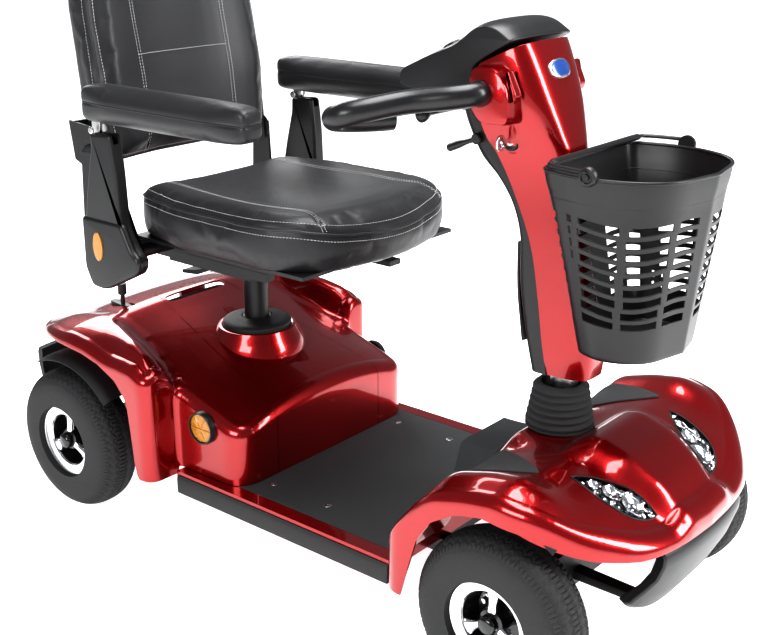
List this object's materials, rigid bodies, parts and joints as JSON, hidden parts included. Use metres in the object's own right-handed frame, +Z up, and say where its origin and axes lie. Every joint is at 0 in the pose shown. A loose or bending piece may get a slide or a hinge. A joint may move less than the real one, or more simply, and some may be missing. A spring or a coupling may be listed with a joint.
{
  "type": "mobility scooter",
  "caption": "Compact scooter on wheels with swivel seat, flip-up armrests, tilting tiller, wrap-round handlebar, front basket and flat foot deck.",
  "frame": {"origin": "on the ground under the middle of the scooter's outline", "axes": "+X is the driving direction, +Y the driver's left, +Z up"},
  "size_m": [1.265, 0.585, 1.03],
  "materials": {
    "red_panel": "metallic candy red lacquer under clear coat",
    "black_plastic": "satin moulded black",
    "mat_rubber": "fine grained rubber mat",
    "tyre_rubber": "dark grey tyre rubber",
    "rim": "bright silver ring, black bowl and polished spokes",
    "frame_paint": "black powder coat",
    "steel": "zinc plated steel",
    "bright_steel": "polished",
    "seat_cover": "black leather look cover with white double stitching",
    "foam_grip": "smooth black foam and vinyl sleeve",
    "clear_lens": "clear lens over chrome bowls",
    "amber_lens": "amber reflector",
    "red_lens": "red lamp lens",
    "battery_case": "matt black case",
    "casting": "cast housing"
  },
  "bodies": {
    "chassis": {"main_frame": "frame_paint", "floor_pan": "red_panel", "deck_mat": "mat_rubber", "deck_screws": "steel", "side_strips": "black_plastic", "rear_body": "red_panel", "rear_lid": "red_panel", "rear_bumper": "black_plastic", "rear_lights": "red_lens", "side_reflectors": "amber_lens", "front_cowl": "red_panel", "front_bumper": "black_plastic", "headlights": "clear_lens", "transaxle": "casting", "battery_pack": "battery_case", "controller": "casting", "seat_pedestal": "black_plastic"},
    "steering": {"steering_column": "steel", "bellows": "mat_rubber"},
    "tiller": {"tiller_frame": "frame_paint", "tiller_shroud": "red_panel", "tiller_rear_cover": "black_plastic", "console": "black_plastic", "handlebar": "foam_grip", "key_switch": "black_plastic"},
    "wigwag": {"wigwag_lever": "black_plastic"},
    "ignition_key": {"key": "bright_steel"},
    "dial": {"speed_dial": "black_plastic"},
    "horn": {"horn_button": "black_plastic"},
    "lights": {"light_button": "black_plastic"},
    "tilt_release": {"tilt_lever": "black_plastic"},
    "front_basket": {"basket": "black_plastic"},
    "basket_bail": {"basket_handle": "black_plastic"},
    "freewheel": {"freewheel_lever": "black_plastic"},
    "post": {"seat_post": "frame_paint"},
    "swivel": {"seat_swivel_plate": "frame_paint"},
    "swivel_release": {"swivel_lever": "black_plastic"},
    "seat": {"seat_frame": "frame_paint", "seat_cushion": "seat_cover"},
    "slide_release": {"slide_lever": "black_plastic"},
    "backrest": {"seat_back": "seat_cover", "back_frame": "black_plastic"},
    "knuckle_left": {"knuckle_left": "steel"},
    "tie_rod_left": {"tie_rod_left": "steel"},
    "front_wheel_left": {"tyre_front_left": "tyre_rubber", "wheel_front_left": "rim"},
    "rear_wheel_left": {"tyre_rear_left": "tyre_rubber", "wheel_rear_left": "rim"},
    "anti_tip_left": {"anti_tip_wheel_left": "black_plastic"},
    "arm_left": {"arm_post_left": "black_plastic"},
    "armrest_left": {"arm_pad_left": "seat_cover"},
    "knuckle_right": {"knuckle_right": "steel"},
    "tie_rod_right": {"tie_rod_right": "steel"},
    "front_wheel_right": {"tyre_front_right": "tyre_rubber", "wheel_front_right": "rim"},
    "rear_wheel_right": {"tyre_rear_right": "tyre_rubber", "wheel_rear_right": "rim"},
    "anti_tip_right": {"anti_tip_wheel_right": "black_plastic"},
    "arm_right": {"arm_post_right": "black_plastic"},
    "armrest_right": {"arm_pad_right": "seat_cover"}
  },
  "joints": [
    {"name": "steer", "type": "hinge", "parent": "chassis", "child": "steering", "pos_m": [0.372, 0, 0.236], "axis": [0, 0, 1], "range_deg": [-40, 40]},
    {"name": "knuckle_turn_left", "type": "hinge", "parent": "chassis", "child": "knuckle_left", "pos_m": [0.444, 0.19, 0.13], "axis": [0, 0, 1], "range_deg": [-30, 30]},
    {"name": "tie_rod_pivot_left", "type": "hinge", "parent": "steering", "child": "tie_rod_left", "pos_m": [0.317, 0.013, 0.159], "axis": [0, 0, 1], "range_deg": [-40, 40]},
    {"name": "front_wheel_spin_left", "type": "hinge", "parent": "knuckle_left", "child": "front_wheel_left", "pos_m": [0.444, 0.25, 0.13], "axis": [0, 1, 0], "continuous": true},
    {"name": "rear_wheel_spin_left", "type": "hinge", "parent": "chassis", "child": "rear_wheel_left", "pos_m": [-0.49, 0.25, 0.13], "axis": [0, 1, 0], "continuous": true},
    {"name": "anti_tip_spin_left", "type": "hinge", "parent": "chassis", "child": "anti_tip_left", "pos_m": [-0.597, 0.127, 0.047], "axis": [0, 1, 0], "continuous": true},
    {"name": "arm_width_left", "type": "slide", "parent": "seat", "child": "arm_left", "axis": [0, 1, 0], "range_m": [0, 0.04]},
    {"name": "arm_flip_left", "type": "hinge", "parent": "arm_left", "child": "armrest_left", "pos_m": [-0.385, 0.2385, 0.705], "axis": [0, -1, 0], "range_deg": [0, 90]},
    {"name": "knuckle_turn_right", "type": "hinge", "parent": "chassis", "child": "knuckle_right", "pos_m": [0.444, -0.19, 0.13], "axis": [0, 0, 1], "range_deg": [-30, 30]},
    {"name": "tie_rod_pivot_right", "type": "hinge", "parent": "steering", "child": "tie_rod_right", "pos_m": [0.317, -0.013, 0.159], "axis": [0, 0, 1], "range_deg": [-40, 40]},
    {"name": "front_wheel_spin_right", "type": "hinge", "parent": "knuckle_right", "child": "front_wheel_right", "pos_m": [0.444, -0.25, 0.13], "axis": [0, 1, 0], "continuous": true},
    {"name": "rear_wheel_spin_right", "type": "hinge", "parent": "chassis", "child": "rear_wheel_right", "pos_m": [-0.49, -0.25, 0.13], "axis": [0, 1, 0], "continuous": true},
    {"name": "anti_tip_spin_right", "type": "hinge", "parent": "chassis", "child": "anti_tip_right", "pos_m": [-0.597, -0.127, 0.047], "axis": [0, 1, 0], "continuous": true},
    {"name": "arm_width_right", "type": "slide", "parent": "seat", "child": "arm_right", "axis": [0, -1, 0], "range_m": [0, 0.04]},
    {"name": "arm_flip_right", "type": "hinge", "parent": "arm_right", "child": "armrest_right", "pos_m": [-0.385, -0.2385, 0.705], "axis": [0, -1, 0], "range_deg": [0, 90]},
    {"name": "tiller_tilt", "type": "hinge", "parent": "steering", "child": "tiller", "pos_m": [0.384, 0, 0.412], "axis": [0, 1, 0], "range_deg": [-6, 10]},
    {"name": "wigwag_throw", "type": "hinge", "parent": "tiller", "child": "wigwag", "pos_m": [0.184, 0, 0.778], "axis": [0, 0, 1], "range_deg": [-10, 10], "stiffness_Nm_per_rad": 0.4},
    {"name": "key_turn", "type": "hinge", "parent": "tiller", "child": "ignition_key", "pos_m": [0.3, -0.06, 0.742], "axis": [0, -1, 0], "range_deg": [0, 90]},
    {"name": "dial_turn", "type": "hinge", "parent": "tiller", "child": "dial", "pos_m": [0.165, 0, 0.8509], "axis": [-0.454, 0, 0.891], "range_deg": [-135, 135]},
    {"name": "horn_press", "type": "slide", "parent": "tiller", "child": "horn", "axis": [0.454, 0, -0.891], "range_m": [0, 0.002], "stiffness_N_per_m": 300},
    {"name": "light_press", "type": "slide", "parent": "tiller", "child": "lights", "axis": [0.454, 0, -0.891], "range_m": [0, 0.002], "stiffness_N_per_m": 300},
    {"name": "tilt_release_squeeze", "type": "hinge", "parent": "tiller", "child": "tilt_release", "pos_m": [0.236, -0.039, 0.736], "axis": [0, 1, 0], "range_deg": [0, 20], "stiffness_Nm_per_rad": 0.5},
    {"name": "basket_lift", "type": "slide", "parent": "tiller", "child": "front_basket", "axis": [0, 0, 1], "range_m": [0, 0.03]},
    {"name": "bail_swing", "type": "hinge", "parent": "front_basket", "child": "basket_bail", "pos_m": [0.478, 0, 0.737], "axis": [0, 1, 0], "range_deg": [0, 120]},
    {"name": "freewheel_throw", "type": "hinge", "parent": "chassis", "child": "freewheel", "pos_m": [-0.492, -0.13, 0.306], "axis": [0, 1, 0], "range_deg": [0, 18]},
    {"name": "seat_height", "type": "slide", "parent": "chassis", "child": "post", "axis": [0, 0, 1], "range_m": [0, 0.06]},
    {"name": "seat_swivel", "type": "hinge", "parent": "post", "child": "swivel", "pos_m": [-0.274, 0, 0.46], "axis": [0, 0, 1], "continuous": true},
    {"name": "swivel_release_pull", "type": "hinge", "parent": "swivel", "child": "swivel_release", "pos_m": [-0.314, -0.06, 0.448], "axis": [0, 0, 1], "range_deg": [0, 20], "stiffness_Nm_per_rad": 0.5},
    {"name": "seat_slide", "type": "slide", "parent": "swivel", "child": "seat", "axis": [1, 0, 0], "range_m": [-0.03, 0.05]},
    {"name": "slide_release_pull", "type": "hinge", "parent": "seat", "child": "slide_release", "pos_m": [-0.124, 0.06, 0.492], "axis": [0, -1, 0], "range_deg": [0, 6], "stiffness_Nm_per_rad": 3},
    {"name": "back_fold", "type": "hinge", "parent": "seat", "child": "backrest", "pos_m": [-0.455, 0, 0.64], "axis": [0, 1, 0], "range_deg": [0, 80]}
  ],
  "couplings": [
    {"joint": "knuckle_turn_left", "follows": "steer", "ratio": 0.75},
    {"joint": "tie_rod_pivot_left", "follows": "steer", "ratio": -1},
    {"joint": "knuckle_turn_right", "follows": "steer", "ratio": 0.75},
    {"joint": "tie_rod_pivot_right", "follows": "steer", "ratio": -1}
  ]
}
